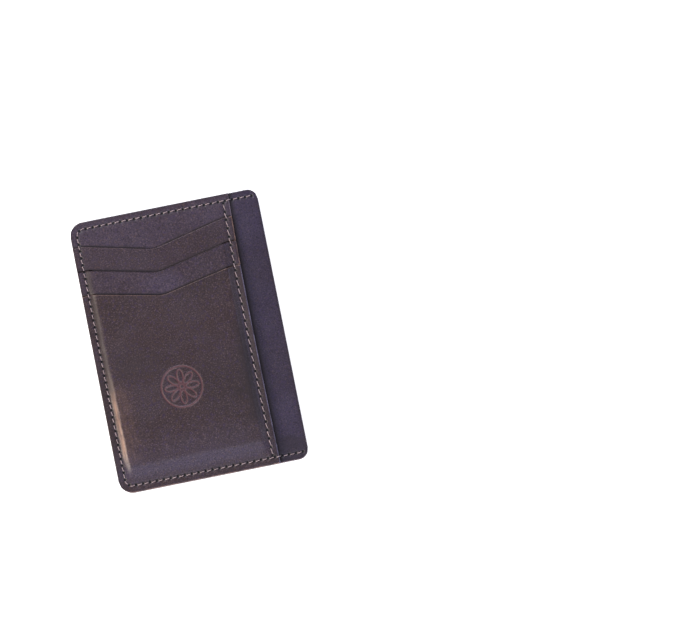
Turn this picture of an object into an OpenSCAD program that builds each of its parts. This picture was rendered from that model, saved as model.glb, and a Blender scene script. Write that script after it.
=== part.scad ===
// Minimalist leather wallet: six card slots, three on each face, sewn to a centre pocket.
// It lies on its back. +X points to the open edge, +Y to the slots' mouths, +Z out of the front.

/* [Wallet] */
// Width, from the spine to the open edge
wallet_w = 75; // [74:0.5:80]
// Height
wallet_h = 107.8; // [106:0.2:114]
// Width of the sewn stack of card slots, from the spine
stack_w = 63.4; // [62:0.2:65]
// Radius of the two corners at the spine
spine_r = 5.5; // [3:0.5:7]
// Radius of the two corners at the open edge
edge_r = 4.2; // [3:0.2:7]

/* [Leather] */
// Thickness of the two inner panels
inner_t = 1; // [0.8:0.1:1.4]
// Thickness of the backing that the slots are sewn to
backing_t = 0.8; // [0.6:0.1:1.2]
// Thickness of the two thin slot panels
slot_t = 0.6; // [0.5:0.1:0.7]
// Thickness of the outer pocket
pocket_t = 0.9; // [0.8:0.1:1.2]
// Space between two layers that lie on each other
ply_gap = 0.1; // [0.1:0.05:0.2]
// Space inside the centre pocket, between its two walls
pocket_gap = 0.3; // [0.3:0.1:0.6]

/* [Card slots] */
// Height of the first mouth's lowest point
mouth_top = 92.2; // [91:0.2:94]
// Step down from one mouth to the next
mouth_pitch = 9.35; // [9:0.05:10]
// Place of a mouth's lowest point, from the spine
mouth_x = 31.2; // [30:0.2:33]
// Slope of the first mouth on each side of its lowest point, in degrees
mouth_slope = 13; // [11:0.5:13]
// How much flatter each mouth is than the one above it, in degrees
mouth_flatten = 0.6; // [0:0.1:0.8]
// Radius of the round at the lowest point
mouth_r = 12; // [8:1:16]
// Height of the first slot's lower end
slot_1_foot = 18.9; // [18.9:0.1:20]
// Height of the second slot's lower end
slot_2_foot = 9.8; // [9.8:0.1:11]

/* [Stitching] */
// Distance of the outer seam from the wallet's edge
seam_inset = 2.8; // [2.4:0.1:3]
// Radius of the outer seam's two corners
seam_r = 2.7; // [2:0.1:3]
// Distance of the straight seam from the stack's edge
edge_inset = 2.4; // [2:0.1:2.6]
// Stitch length of the outer seam
outer_stitch = 2.75; // [2.5:0.05:3]
// Stitch length of the straight seams
straight_stitch = 3.3; // [3:0.1:3.6]
// Width of the thread
thread_w = 0.5; // [0.4:0.05:0.6]

/* [Flexing lips] */
// Half the width of the part of a slot's mouth that flexes open
lip_half_w = 21; // [15:1:21]
// Length of each end of the open edge that stays sewn shut
mouth_end = 9; // [8:1:14]
// Height of the pocket's flexing lip
pocket_lip_h = 9; // [7:1:12]

/* [Hidden] */
SIDES = ["front", "back"];
PIECES = ["inner_panel", "mouth_lip", "backing", "slot_1", "slot_1_lip", "slot_2", "slot_2_lip",
          "pocket", "pocket_lip", "edge_needle_thread", "edge_bobbin_thread",
          "slot_1_needle_thread", "slot_1_bobbin_thread", "slot_2_needle_thread", "slot_2_bobbin_thread"];

// Levels, measured outwards from the plane between the centre pocket's two walls
inner_z = pocket_gap / 2;
inner_top = inner_z + inner_t;
backing_z = inner_top + ply_gap;
backing_top = backing_z + backing_t;
slot_z = backing_top + ply_gap;
slot_top = slot_z + slot_t;
slot_rise = slot_t + ply_gap;
pocket_margin_top = slot_z + pocket_t;
half_t = slot_z + 2 * slot_rise + pocket_t;

// Where the outer layers climb over the slots' tails, from the spine and from the bottom edge
ramp_start = 3.9;
ramp_end = 5.6;
right_ramp_start = stack_w - 3.5;
right_ramp_end = stack_w - 5.2;
tail_left = 5.8;
tail_right = stack_w - 5.5;
lip_gap = 0.1;

// Seam lines and thread
margin_left = 4;
margin_right = stack_w - 3.4;
seam_start_x = wallet_w - 2.2;
edge_seam_x = stack_w - edge_inset;
foot_seam = 1.8;
edge_seam_end = 0.8;
thread_h = 0.35;
proud = 0.25;
sunk = 0.05;
leg_l = 0.9;
leg_w = 0.4;
stitch_gap = 0.4;
lip_hinge = 0.3;
arc_steps = 8;

leather = "#4b4048";
leather_inner = "#54474f";
needle_grey = "#8c8079";
bobbin_brown = "#6e4a42";

// Points of an arc about [x, y], from one angle to the other
function arc(x, y, r, from, to) =
    [for (i = [0:arc_steps]) let (a = from + (to - from) * i / arc_steps) [x + r * cos(a), y + r * sin(a)]];

// Height of a mouth's line at x: a rounded V that runs level through the sewn margins
function mouth_low(k) = mouth_top - k * mouth_pitch;
function slope(k) = mouth_slope - k * mouth_flatten;
function mouth_rise(d, angle) =
    d < mouth_r * sin(angle)
        ? mouth_r - sqrt(mouth_r * mouth_r - d * d)
        : mouth_r * (1 - cos(angle)) + (d - mouth_r * sin(angle)) * tan(angle);
function mouth_y(k, x) =
    mouth_low(k) + mouth_rise(abs(min(max(x, margin_left), margin_right) - mouth_x), slope(k));

// Points of a mouth's line from x0 up to x1
function mouth_xs(k) =
    let (half = mouth_r * sin(slope(k)))
        concat([margin_left],
               [for (i = [-arc_steps / 2:arc_steps / 2]) mouth_x + half * 2 * i / arc_steps],
               [margin_right]);
function mouth_points(k, x0, x1, lift = 0) =
    [for (x = concat([x0], [for (x = mouth_xs(k)) if (x > x0 && x < x1) x], [x1])) [x, mouth_y(k, x) + lift]];
function reversed(points) = [for (i = [len(points) - 1:-1:0]) points[i]];

function wallet_points() =
    concat(arc(spine_r, spine_r, spine_r, 180, 270),
           arc(wallet_w - edge_r, edge_r, edge_r, 270, 360),
           arc(wallet_w - edge_r, wallet_h - edge_r, edge_r, 0, 90),
           arc(spine_r, wallet_h - spine_r, spine_r, 90, 180));

function backing_points() =
    concat(arc(spine_r, spine_r, spine_r, 180, 270),
           [[stack_w, 0], [stack_w, wallet_h]],
           arc(spine_r, wallet_h - spine_r, spine_r, 90, 180));

// A T-shaped slot panel: a band from spine to stack edge below mouth k, and a narrower tail below it
function slot_points(k, foot) =
    concat(mouth_points(k, 0, stack_w),
           reversed(mouth_points(k + 1, tail_right, stack_w, ply_gap)),
           [[tail_right, foot], [tail_left, foot]],
           reversed(mouth_points(k + 1, 0, tail_left, ply_gap)));

function pocket_points() =
    concat(arc(spine_r, spine_r, spine_r, 180, 270), [[stack_w, 0]], reversed(mouth_points(2, 0, stack_w)));

// A flat layer
module plate(points, z, t) {
    translate([0, 0, z]) linear_extrude(t) polygon(points);
}

// Everything below the surface that rises by the heights in x_rise across and y_rise upwards
module under_drape(x_rise, y_rise, z) {
    across = concat([[0, -1]], [for (p = x_rise) [p[0], p[1] + z]], [[wallet_w, -1]]);
    upward = concat([[0, -1]], [for (p = y_rise) [p[0], p[1] + z]], [[wallet_h, -1]]);
    intersection() {
        translate([0, wallet_h, 0]) rotate([90, 0, 0]) linear_extrude(wallet_h) polygon(across);
        rotate([90, 0, 90]) linear_extrude(wallet_w) polygon(upward);
    }
}

// Rise across the stack, from the level margins up to the height of the tails underneath
function across_rise(h) =
    [[0, 0], [ramp_start, 0], [ramp_end, h], [right_ramp_end, h], [right_ramp_start, 0], [wallet_w, 0]];

// A layer that drapes over what lies under it
module draped(points, x_rise, y_rise, z, t) {
    intersection() {
        plate(points, 0, half_t + 1);
        difference() {
            under_drape(x_rise, y_rise, z + t);
            under_drape(x_rise, y_rise, z);
        }
    }
}

module slot_2_sheet() {
    draped(slot_points(1, slot_2_foot), across_rise(slot_rise),
           [[0, 0], [slot_1_foot - 2.5, 0], [slot_1_foot - 0.5, slot_rise], [wallet_h, slot_rise]],
           slot_z, slot_t);
}

module pocket_sheet() {
    draped(pocket_points(), across_rise(2 * slot_rise),
           [[0, 0], [slot_2_foot - 4.8, 0], [slot_2_foot - 0.3, slot_rise], [slot_1_foot - 4.4, slot_rise],
            [slot_1_foot - 0.3, 2 * slot_rise], [wallet_h, 2 * slot_rise]],
           slot_z, pocket_t);
}

// The space of a flexing lip, grown by a gap where its panel is cut back for it
module mouth_lip_space(gap) {
    x = stack_w + lip_hinge - gap;
    translate([x, mouth_end - gap, -1])
        cube([wallet_w - x + 1, wallet_h - 2 * (mouth_end - gap), half_t + 2]);
}

function lip_hinge_y(k) = k == 2 ? mouth_low(2) - pocket_lip_h : mouth_y(k + 1, mouth_x + lip_half_w) + 0.4;

module slot_lip_space(k, gap) {
    translate([mouth_x - lip_half_w - gap, lip_hinge_y(k) - gap, -1])
        cube([2 * (lip_half_w + gap), wallet_h, half_t + 2]);
}

module inner_panel() {
    color(leather_inner) difference() {
        plate(wallet_points(), inner_z, inner_t);
        mouth_lip_space(lip_gap);
    }
}

module mouth_lip() {
    color(leather_inner) intersection() {
        plate(wallet_points(), inner_z, inner_t);
        mouth_lip_space(0);
    }
}

module backing() {
    color(leather) plate(backing_points(), backing_z, backing_t);
}

// Panel k of a card slot, whole: 0 and 1 are the thin slot panels, and 2 is the outer pocket
module slot_sheet(k) {
    if (k == 0) plate(slot_points(0, slot_1_foot), slot_z, slot_t);
    if (k == 1) slot_2_sheet();
    if (k == 2) pocket_sheet();
}

module slot_panel(k) {
    color(leather) difference() {
        slot_sheet(k);
        slot_lip_space(k, lip_gap);
    }
}

module slot_lip(k) {
    color(leather) intersection() {
        slot_sheet(k);
        slot_lip_space(k, 0);
    }
}

// Level of the leather's outer face along the sewn margins
function margin_level(p) =
    p[0] > stack_w ? inner_top
    : p[1] > mouth_y(0, p[0]) ? backing_top
    : p[1] > mouth_y(2, p[0]) ? slot_top
    : pocket_margin_top;

// A sewn thread: one stitch on the face between each two holes, and a leg down each hole
module thread(holes, levels, lock_z, above) {
    last = len(holes) - 1;
    bars = [for (i = [0:last - 1]) max(levels[i], levels[i + 1]) + above - thread_h];
    for (i = [0:last - 1]) {
        run = holes[i + 1] - holes[i];
        translate([holes[i][0], holes[i][1], bars[i]])
            rotate(atan2(run[1], run[0]))
                translate([stitch_gap / 2, -thread_w / 2, 0])
                    cube([norm(run) - stitch_gap, thread_w, thread_h]);
    }
    for (i = [0:last]) {
        run = holes[min(i + 1, last)] - holes[max(i - 1, 0)];
        leg_top = max(bars[max(i - 1, 0)], bars[min(i, last - 1)]) + thread_h / 2;
        translate([holes[i][0], holes[i][1], lock_z])
            rotate(atan2(run[1], run[0]))
                translate([-leg_l / 2, -leg_w / 2, 0])
                    cube([leg_l, leg_w, leg_top - lock_z]);
    }
}

// Holes spaced evenly along a straight line
function straight_holes(from, to) =
    let (n = round(norm(to - from) / straight_stitch)) [for (i = [0:n]) from + (to - from) * i / n];

// Point of the outer seam at a distance along it: top edge, spine, then bottom edge
top_run = seam_start_x - seam_inset - seam_r;
bend_run = PI * seam_r / 2;
side_run = wallet_h - 2 * (seam_inset + seam_r);
seam_length = 2 * (top_run + bend_run) + side_run;
function bend_point(y, angle) =
    [seam_inset + seam_r + seam_r * cos(angle), y + seam_r * sin(angle)];
function seam_point(s) =
    s < top_run ? [seam_start_x - s, wallet_h - seam_inset]
    : s < top_run + bend_run
        ? bend_point(wallet_h - seam_inset - seam_r, 90 + 90 * (s - top_run) / bend_run)
    : s < top_run + bend_run + side_run
        ? [seam_inset, wallet_h - seam_inset - seam_r - (s - top_run - bend_run)]
    : s < seam_length - top_run
        ? bend_point(seam_inset + seam_r, 180 + 90 * (s - top_run - bend_run - side_run) / bend_run)
    : [seam_start_x - (seam_length - s), seam_inset];

outer_count = round(seam_length / outer_stitch);
outer_holes = [for (i = [0:outer_count]) seam_point(seam_length * i / outer_count)];
edge_holes = straight_holes([edge_seam_x, seam_inset + edge_seam_end],
                            [edge_seam_x, wallet_h - seam_inset - edge_seam_end]);
function foot_holes(foot) =
    straight_holes([tail_left + 2, foot + foot_seam], [tail_right - 2, foot + foot_seam]);
function same_level(holes, z) = [for (p = holes) z];

module perimeter_thread(tint) {
    color(tint) thread(outer_holes, [for (p = outer_holes) margin_level(p)], 0, proud);
}

module edge_needle_thread() {
    color(needle_grey)
        thread(edge_holes, [for (p = edge_holes) margin_level(p)], inner_top + ply_gap / 2, proud);
}

module edge_bobbin_thread() {
    color(bobbin_brown) mirror([0, 0, 1])
        thread(edge_holes, same_level(edge_holes, -inner_z), -inner_top - ply_gap / 2, sunk);
}

module foot_needle_thread(foot) {
    holes = foot_holes(foot);
    color(needle_grey) thread(holes, same_level(holes, slot_top), backing_top + ply_gap / 2, sunk);
}

module foot_bobbin_thread(foot) {
    holes = foot_holes(foot);
    color(bobbin_brown) mirror([0, 0, 1])
        thread(holes, same_level(holes, -backing_z), -backing_top - ply_gap / 2, sunk);
}

// Places a piece of the front half, or its mirror image in the back half
module on_side(side) {
    translate([-wallet_w / 2, -wallet_h / 2, half_t])
        mirror([0, 0, side == "back" ? 1 : 0]) children();
}

on_side("front") perimeter_thread(needle_grey);  // perimeter_needle_thread
on_side("back") perimeter_thread(bobbin_brown);  // perimeter_bobbin_thread
for (side = SIDES) {
    on_side(side) inner_panel();
    on_side(side) mouth_lip();
    on_side(side) backing();
    on_side(side) slot_panel(0);
    on_side(side) slot_lip(0);
    on_side(side) slot_panel(1);
    on_side(side) slot_lip(1);
    on_side(side) slot_panel(2);
    on_side(side) slot_lip(2);
    on_side(side) edge_needle_thread();
    on_side(side) edge_bobbin_thread();
    on_side(side) foot_needle_thread(slot_1_foot);
    on_side(side) foot_bobbin_thread(slot_1_foot);
    on_side(side) foot_needle_thread(slot_2_foot);
    on_side(side) foot_bobbin_thread(slot_2_foot);
}
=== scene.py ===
# %% [markdown]
# # A slim leather wallet with stepped card slots
#
# The wallet is two mirrored halves sewn together round three sides. Each half has an inner panel, a
# backing, two T-shaped slot panels and an outer pocket, and every seam has two threads that lock
# inside the leather. The imported CAD model says where each piece lies, so it is loaded first, and its
# box gives the wallet's sizes.

# %% Load the frame
import math

import bpy
import numpy as np
from mathutils import Matrix, Vector


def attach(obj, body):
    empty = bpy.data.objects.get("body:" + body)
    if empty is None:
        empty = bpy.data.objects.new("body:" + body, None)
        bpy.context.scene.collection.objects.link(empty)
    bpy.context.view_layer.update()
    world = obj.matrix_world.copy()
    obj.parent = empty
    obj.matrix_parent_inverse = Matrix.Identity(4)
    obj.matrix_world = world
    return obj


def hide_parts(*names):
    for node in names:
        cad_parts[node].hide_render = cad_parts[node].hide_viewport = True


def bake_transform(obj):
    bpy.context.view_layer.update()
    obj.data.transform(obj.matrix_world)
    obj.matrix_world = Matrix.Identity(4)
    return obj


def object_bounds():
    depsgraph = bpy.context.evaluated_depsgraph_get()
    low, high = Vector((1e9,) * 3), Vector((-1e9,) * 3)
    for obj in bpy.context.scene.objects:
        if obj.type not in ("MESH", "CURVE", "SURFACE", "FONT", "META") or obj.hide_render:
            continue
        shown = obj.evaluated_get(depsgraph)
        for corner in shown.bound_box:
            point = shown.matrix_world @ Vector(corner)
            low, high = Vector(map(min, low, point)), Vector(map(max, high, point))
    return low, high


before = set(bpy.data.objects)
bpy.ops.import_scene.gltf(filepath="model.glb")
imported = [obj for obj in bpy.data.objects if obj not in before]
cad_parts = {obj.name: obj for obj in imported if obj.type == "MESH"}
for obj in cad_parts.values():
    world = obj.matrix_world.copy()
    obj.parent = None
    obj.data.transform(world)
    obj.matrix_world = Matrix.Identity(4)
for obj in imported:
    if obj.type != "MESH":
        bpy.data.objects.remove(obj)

cad_low, cad_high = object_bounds()
print("CAD box, mm:", [round(1000 * v, 2) for v in (*cad_low, *cad_high)])

# %% [markdown]
# ## The camera
#
# A product shot of a flat thing is taken from above with a long lens, because a long lens keeps the
# outline free of perspective. The camera leans a few degrees towards the wallet's lower edge and is
# rolled, so the wallet lies turned in the frame and off its centre.

# %% Set up the camera
LENS_MM = 200.0
SENSOR_MM = 36.0
VIEW_W = 0.27387           # width of the frame at the wallet, metres
ROLL = math.radians(11.4)  # how far the wallet is turned in the frame
LEAN = math.radians(4.0)   # how far the camera leans from straight down
AIM = Vector((0.06424, -0.00026, 0.0045))

right = Vector((math.cos(ROLL), -math.sin(ROLL), 0))
level_up = Vector((math.sin(ROLL), math.cos(ROLL), 0))
up = level_up * math.cos(LEAN) + Vector((0, 0, 1)) * math.sin(LEAN)
back = right.cross(up)


def added(name, data):
    """A new object with this data, put in the scene."""
    made = bpy.data.objects.new(name, data)
    bpy.context.scene.collection.objects.link(made)
    return made


camera = added("camera", bpy.data.cameras.new("camera"))
camera.data.lens = LENS_MM
camera.data.sensor_width = SENSOR_MM
camera.rotation_mode = "QUATERNION"
camera.rotation_quaternion = Matrix((right, up, back)).transposed().to_quaternion()
camera.location = AIM + back * (VIEW_W * LENS_MM / SENSOR_MM)
camera.data.clip_end = 10.0
bpy.context.scene.camera = camera
print("camera stands", round((camera.location - AIM).length, 3), "m away")

# %% [markdown]
# ## Sizes from the frame
#
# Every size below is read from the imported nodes, in millimetres, because leather work is measured in
# them. One flat coordinate system serves both halves: x runs from the spine, y from the bottom edge,
# and z outwards from the plane where the halves meet. A back piece is the same shape with z turned
# round, so one function makes each pair.

# %% Read the wallet's sizes
MM = 0.001


def node_points(name):
    """All corner points of a CAD node in millimetres, in the flat coordinates of the front half."""
    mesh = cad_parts[name].data
    flat = np.empty(3 * len(mesh.vertices))
    mesh.vertices.foreach_get("co", flat)
    return flat.reshape(-1, 3) / MM + (WALLET_W / 2, WALLET_H / 2, -HALF_T)


WALLET_W, WALLET_H, thickness = ((cad_high - cad_low) / MM)[:]
HALF_T = thickness / 2
LAYERS = ("inner_panel", "backing", "slot_1", "slot_2")
panels = {name: node_points("front_" + name) for name in LAYERS}
INNER_Z, BACKING_Z, SLOT_Z, _ = (panels[name][:, 2].min() for name in LAYERS)
INNER_TOP, BACKING_TOP, SLOT_TOP, slot_2_high = (panels[name][:, 2].max() for name in LAYERS)
STACK_W = panels["backing"][:, 0].max()
SLOT_T, SLOT_RISE = SLOT_TOP - SLOT_Z, slot_2_high - SLOT_TOP
POCKET_T = HALF_T - SLOT_Z - 2 * SLOT_RISE
FEET = [panels[name][:, 1].min() for name in ("slot_1", "slot_2")]
tail = panels["slot_1"][panels["slot_1"][:, 1] < FEET[0] + 1]
TAIL_LEFT, TAIL_RIGHT = tail[:, 0].min(), tail[:, 0].max()


def mouth_low_point(lip):
    """Lowest point of a mouth: the lowest corner of its lip that is well above the lip's hinge line."""
    points = node_points(lip)
    above = points[points[:, 1] > points[:, 1].min() + 1.0]
    return above[np.argmin(above[:, 1])][:2]


lows = np.array([mouth_low_point(f"front_{name}_lip") for name in ("slot_1", "slot_2", "pocket")])
MOUTH_X, MOUTH_LOWS = lows[0, 0], lows[:, 1]
print(f"wallet {WALLET_W:.1f} x {WALLET_H:.1f} x {thickness:.1f}, stack {STACK_W:.1f} wide")
print("mouths' low points at", np.round(MOUTH_LOWS, 2), "tails from", np.round([TAIL_LEFT, TAIL_RIGHT], 2))

# %% [markdown]
# ## The mouths' line
#
# A card slot's mouth is cut as a wide V so that a thumb can push the card. The two arms are straight,
# the bottom of the V is an arc of 12 mm, and the line runs level through the sewn margins. As a
# function of x it serves the panel's own edge, the panel below, the seams and the height of the layers.

# %% Describe the mouths
MOUTH_SLOPES = np.radians([13.0, 12.4, 11.8])
MOUTH_R = 12.0
MARGIN_LEFT, MARGIN_RIGHT = 4.0, STACK_W - 3.4


def smooth(value, low, high):
    """Smooth step: 0 below low, 1 above high, and 3t^2 - 2t^3 between them."""
    t = np.clip((value - low) / (high - low), 0, 1)
    return t * t * (3 - 2 * t)


def bump(value, middle, width):
    """A bell: 1 in the middle, falling on both sides as exp(-d^2) of the distance in widths."""
    return np.exp(-(((value - middle) / width) ** 2))


def mouth_y(k, x):
    """Height of mouth k: an arc near its low point, then straight arms, held level past the margins."""
    slope = MOUTH_SLOPES[k]
    d = np.abs(np.clip(x, MARGIN_LEFT, MARGIN_RIGHT) - MOUTH_X)
    touch = MOUTH_R * math.sin(slope)
    arc = MOUTH_R - np.sqrt(np.maximum(MOUTH_R**2 - np.minimum(d, touch) ** 2, 0))
    return MOUTH_LOWS[k] + arc + np.maximum(d - touch, 0) * math.tan(slope)


rise = mouth_y(0, np.array([0, STACK_W])) - MOUTH_LOWS[0]
print("first mouth rises", np.round(rise, 2), "mm at its ends")

# %% [markdown]
# ## How the layers drape
#
# The slot panels' tails end inside the pocket, so the outer leather climbs over them a little way in
# from the seams, and their ends show through it as two soft steps. Thick leather can't fold sharply,
# so each climb is a smooth step. The heights are functions of x and y that the panels, the seams and
# the threads all share.

# %% Describe the heights
SEAM_INSET = 2.8  # distance of the outer seam from the wallet's edge
CLIMB_START = SEAM_INSET + 1.6
CROWN = 0.22


def across(x, y):
    """0 on the margins, 1 between: at the spine a smooth step low down and 1 - (1 - t)^2 higher up."""
    waver = 0.12 * (1 + np.sin(0.55 * y)) * (0.6 + 0.4 * np.sin(0.23 * y + 1)) - 0.6 * smooth(16 - y, 0, 9)
    t = np.clip((x + waver - TAIL_LEFT + 2.5) / 2.7, 0, 1)
    low = smooth(50 - y, 0, 16)
    left = low * t * t * (3 - 2 * t) + (1 - low) * (1 - (1 - t) ** 2)
    return left * (1 - smooth(x, TAIL_RIGHT - 0.2, TAIL_RIGHT + 2.6))


def slot_2_top(x, y):
    """Outer face of the second slot panel: it climbs over the first one's tail and steps off its foot."""
    return SLOT_TOP + SLOT_RISE * across(x, y) * smooth(y, FEET[0] - 2.6, FEET[0] - 0.4)


def pocket_top(x, y):
    """Outer face of the pocket: a steep climb, a gentle one, the feet's faint steps and a low crown."""
    climb = 0.68 * smooth(y, CLIMB_START - 1.8, FEET[1] + 1.8) + 0.32 * smooth(y, FEET[1] - 1.5, FEET[0])
    for foot, size in zip(FEET, (0.02, 0.035)):
        climb = climb + size * (smooth(y, foot - 0.9, foot + 0.2) - smooth(y, foot - 3.0, foot + 2.4))
    wide = (x - TAIL_LEFT) / (TAIL_RIGHT - TAIL_LEFT)
    crown = CROWN * np.sin(np.pi * np.clip(wide, 0, 1)) * smooth(y, FEET[1], 45) * smooth(78 - y, 0, 25)
    return SLOT_Z + POCKET_T + 2 * SLOT_RISE * across(x, y) * climb + crown


def margin_top(x, y):
    """Outer face of the leather along the seams, with each step down eased over half a millimetre."""
    z = SLOT_Z + POCKET_T + 0 * x
    z = z + (SLOT_TOP - SLOT_Z - POCKET_T) * smooth(y - mouth_y(2, x), -0.1, 0.6)
    z = z + (BACKING_TOP - SLOT_TOP) * smooth(y - mouth_y(0, x), -0.1, 0.8)
    return z + (INNER_TOP - z) * smooth(x, STACK_W - 0.1, STACK_W + 0.9)


middle_height = pocket_top(np.array(30.0), np.array(50.0))
print("pocket stands", round(float(middle_height), 2), "mm off the mid-plane")

# %% [markdown]
# ## The seams
#
# The outer seam runs along the top, round two small corners and down the spine side to the bottom; a
# straight seam closes the stack. A seam is a path walked at equal steps, one hole at each step, and
# the hole's direction follows the path. The path is a function of the distance walked.

# %% Lay out the stitch holes
SEAM_START = node_points("perimeter_needle_thread")[:, 0].max() - 0.45
SEAM_R = 2.7
TOP_RUN = SEAM_START - SEAM_INSET - SEAM_R
SIDE_RUN = WALLET_H - 2 * (SEAM_INSET + SEAM_R)
TURN_RUN = math.pi * SEAM_R / 2
EDGE_SEAM_X = STACK_W - 2.4
EDGE_SEAM_END = SEAM_INSET + 0.8
OUTER_STITCH, STRAIGHT_STITCH = 2.75, 3.3
FOOT_SEAM_UP, FOOT_SEAM_IN = 1.8, 2.0  # a tail's seam lies this far from the foot and the sides


def outer_path(s):
    """Points at distances s along the outer seam: three straights joined by two quarter turns."""
    low, high = SEAM_INSET + SEAM_R, WALLET_H - SEAM_INSET - SEAM_R
    turned = TOP_RUN + TURN_RUN
    first = math.pi / 2 * (1 + np.clip((s - TOP_RUN) / TURN_RUN, 0, 1))
    second = math.pi / 2 * (2 + np.clip((s - turned - SIDE_RUN) / TURN_RUN, 0, 1))
    angle = np.where(s < turned + SIDE_RUN / 2, first, second)
    run_in = np.clip(TOP_RUN - s, 0, None) + np.clip(s - (turned + SIDE_RUN + TURN_RUN), 0, None)
    x = low + run_in + SEAM_R * np.cos(angle)
    y = high - np.clip(s - turned, 0, SIDE_RUN) + SEAM_R * np.sin(angle)
    return np.stack([x, y], 1)


def straight_path(start, end):
    """A path function for a straight seam from start to end."""
    start, end = np.array(start, float), np.array(end, float)
    unit = (end - start) / np.linalg.norm(end - start)
    return lambda s: start + s[:, None] * unit


def unit(vectors):
    """Each row divided by its length, or left alone where it has none."""
    return vectors / np.maximum(np.linalg.norm(vectors, axis=1, keepdims=True), 1e-9)


def heading(path, s, length, reach):
    """Unit directions of a path at distances s, from points a little ahead and a little behind."""
    return unit(path(np.minimum(s + reach, length)) - path(np.maximum(s - reach, 0)))


def seam(path, length, stitch):
    """A seam: its path, its length, the distance between holes, the holes and their directions."""
    count = round(length / stitch)
    step = length / count
    s = np.arange(count + 1) * step
    return {"path": path, "length": length, "step": step, "count": count, "holes": path(s),
            "along": heading(path, s, length, 0.05)}


def straight_seam(start, end):
    """A seam of straight stitches between two points."""
    return seam(straight_path(start, end), math.dist(start, end), STRAIGHT_STITCH)


outer_seam = seam(outer_path, 2 * (TOP_RUN + TURN_RUN) + SIDE_RUN, OUTER_STITCH)
edge_seam = straight_seam((EDGE_SEAM_X, EDGE_SEAM_END), (EDGE_SEAM_X, WALLET_H - EDGE_SEAM_END))
foot_seams = [straight_seam((TAIL_LEFT + FOOT_SEAM_IN, y), (TAIL_RIGHT - FOOT_SEAM_IN, y))
              for y in np.array(FEET) + FOOT_SEAM_UP]
print("outer seam", outer_seam["count"], "stitches, edge seam", edge_seam["count"])

# %% [markdown]
# ## Marks that sewing leaves
#
# An awl opens each hole and drags its lip down, and the tight thread presses a shallow valley between
# holes. Both are worked out as distances: to the nearest hole in a frame turned along the seam, and to
# the seam's line. The same distances give the shader a mask for the painted shadow inside a hole.

# %% Work out pits and valleys
HOLE_LONG, HOLE_WIDE, PIT_DEPTH = 0.52, 0.50, 0.42
VALLEY_WIDE, VALLEY_DEPTH = 0.85, 0.11
FAR = 100.0  # the outer seam is part of a rounded rectangle that is twice this long


def hole_mask(x, y, sewn):
    """1 in the middle of a hole and 0 outside it: a smooth bump of the distance to the nearest hole."""
    points = np.stack([x.ravel(), y.ravel()], 1)
    nearest = np.full(len(points), 9.0)
    for hole, along in zip(sewn["holes"], sewn["along"]):
        d = points - hole
        lengthways = d @ along
        sideways = d @ np.array([-along[1], along[0]])
        nearest = np.minimum(nearest, (lengthways / HOLE_LONG) ** 2 + (sideways / HOLE_WIDE) ** 2)
    return np.exp(-nearest**2).reshape(x.shape)


def outer_seam_distance(x, y):
    """Distance to the outer seam: that to a rounded rectangle whose right side is far away."""
    half = np.array([FAR, WALLET_H / 2 - SEAM_INSET]) - SEAM_R
    qx = np.abs(x - SEAM_INSET - FAR) - half[0]
    qy = np.abs(y - WALLET_H / 2) - half[1]
    outside = np.hypot(np.maximum(qx, 0), np.maximum(qy, 0))
    return np.abs(outside + np.minimum(np.maximum(qx, qy), 0) - SEAM_R) + np.maximum(x - SEAM_START, 0)


def sewing_marks(x, y, edge_too=True):
    """How far the leather is pressed in by both visible seams, the holes' mask and the seams' mask."""
    near = outer_seam_distance(x, y)
    holes = hole_mask(x, y, outer_seam)
    if edge_too:
        past_end = np.maximum(np.abs(y - WALLET_H / 2) - WALLET_H / 2 + EDGE_SEAM_END, 0)
        near = np.minimum(near, np.abs(x - EDGE_SEAM_X) + past_end)
        holes = np.maximum(holes, hole_mask(x, y, edge_seam))
    valley = bump(near, 0, VALLEY_WIDE)
    return VALLEY_DEPTH * valley + PIT_DEPTH * holes, holes, valley


at_hole = [np.array([place]) for place in edge_seam["holes"][0]]
print("leather is pressed in", round(float(sewing_marks(*at_hole)[0][0]), 2), "mm at a hole")

# %% [markdown]
# ## Grids that fit a cut outline
#
# A leather panel is cut flat, so it is a grid of points between curves: each row lies a share of the
# way from one curve down to the next. Rows and columns crowd together where holes, climbs and stamped
# lines need them and spread out where the leather is plain or hidden. A T shape is the same grid with
# some cells left out.

# %% Build the grids
def corner(x, radius, width=None, right_radius=None):
    """How far the outline is pulled in at x by a quarter circle at the left end, and one at the right."""
    left = np.clip(radius - x, 0, radius)
    cut = radius - np.sqrt(radius**2 - left**2)
    if width is not None:
        over = np.clip(x - (width - right_radius), 0, right_radius)
        cut = cut + right_radius - np.sqrt(right_radius**2 - over**2)
    return cut


def merged(*groups, low, high, closest):
    """Sorted numbers from all groups between low and high, without those closer together than closest."""
    values = np.sort(np.concatenate([np.ravel(g) for g in groups]))
    values = values[(values > low + closest / 2) & (values < high - closest / 2)]
    kept = [low]
    for value in values:
        if value - kept[-1] >= closest:
            kept.append(value)
    return np.array(kept + [high])


def around(centres, offsets):
    """Every centre with every offset added."""
    return (np.asarray(centres)[:, None] + np.asarray(offsets)).ravel()


def even(low, high, step):
    """Evenly spaced numbers from low to high, about step apart."""
    return np.linspace(low, high, max(2, round((high - low) / step) + 1))


def panel_grid(columns, curves, shares):
    """Grid of points and cells: band b's rows lie at shares v of the way from curve b to curve b + 1."""
    rows = [curves[0][None, :]]
    for upper, lower, v in zip(curves, curves[1:], shares):
        rows.append(upper + (lower - upper) * v[1:, None])
    y = np.concatenate(rows)
    return np.broadcast_to(columns, y.shape).copy(), y, np.ones((y.shape[0] - 1, y.shape[1] - 1), bool)


def band_shares(y_rows, upper, lower):
    """Shares of the way from upper down to lower at which rows of the given heights lie."""
    inside = [y for y in y_rows if lower < y < upper]
    return (upper - np.array(inside)) / (upper - lower)


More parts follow.
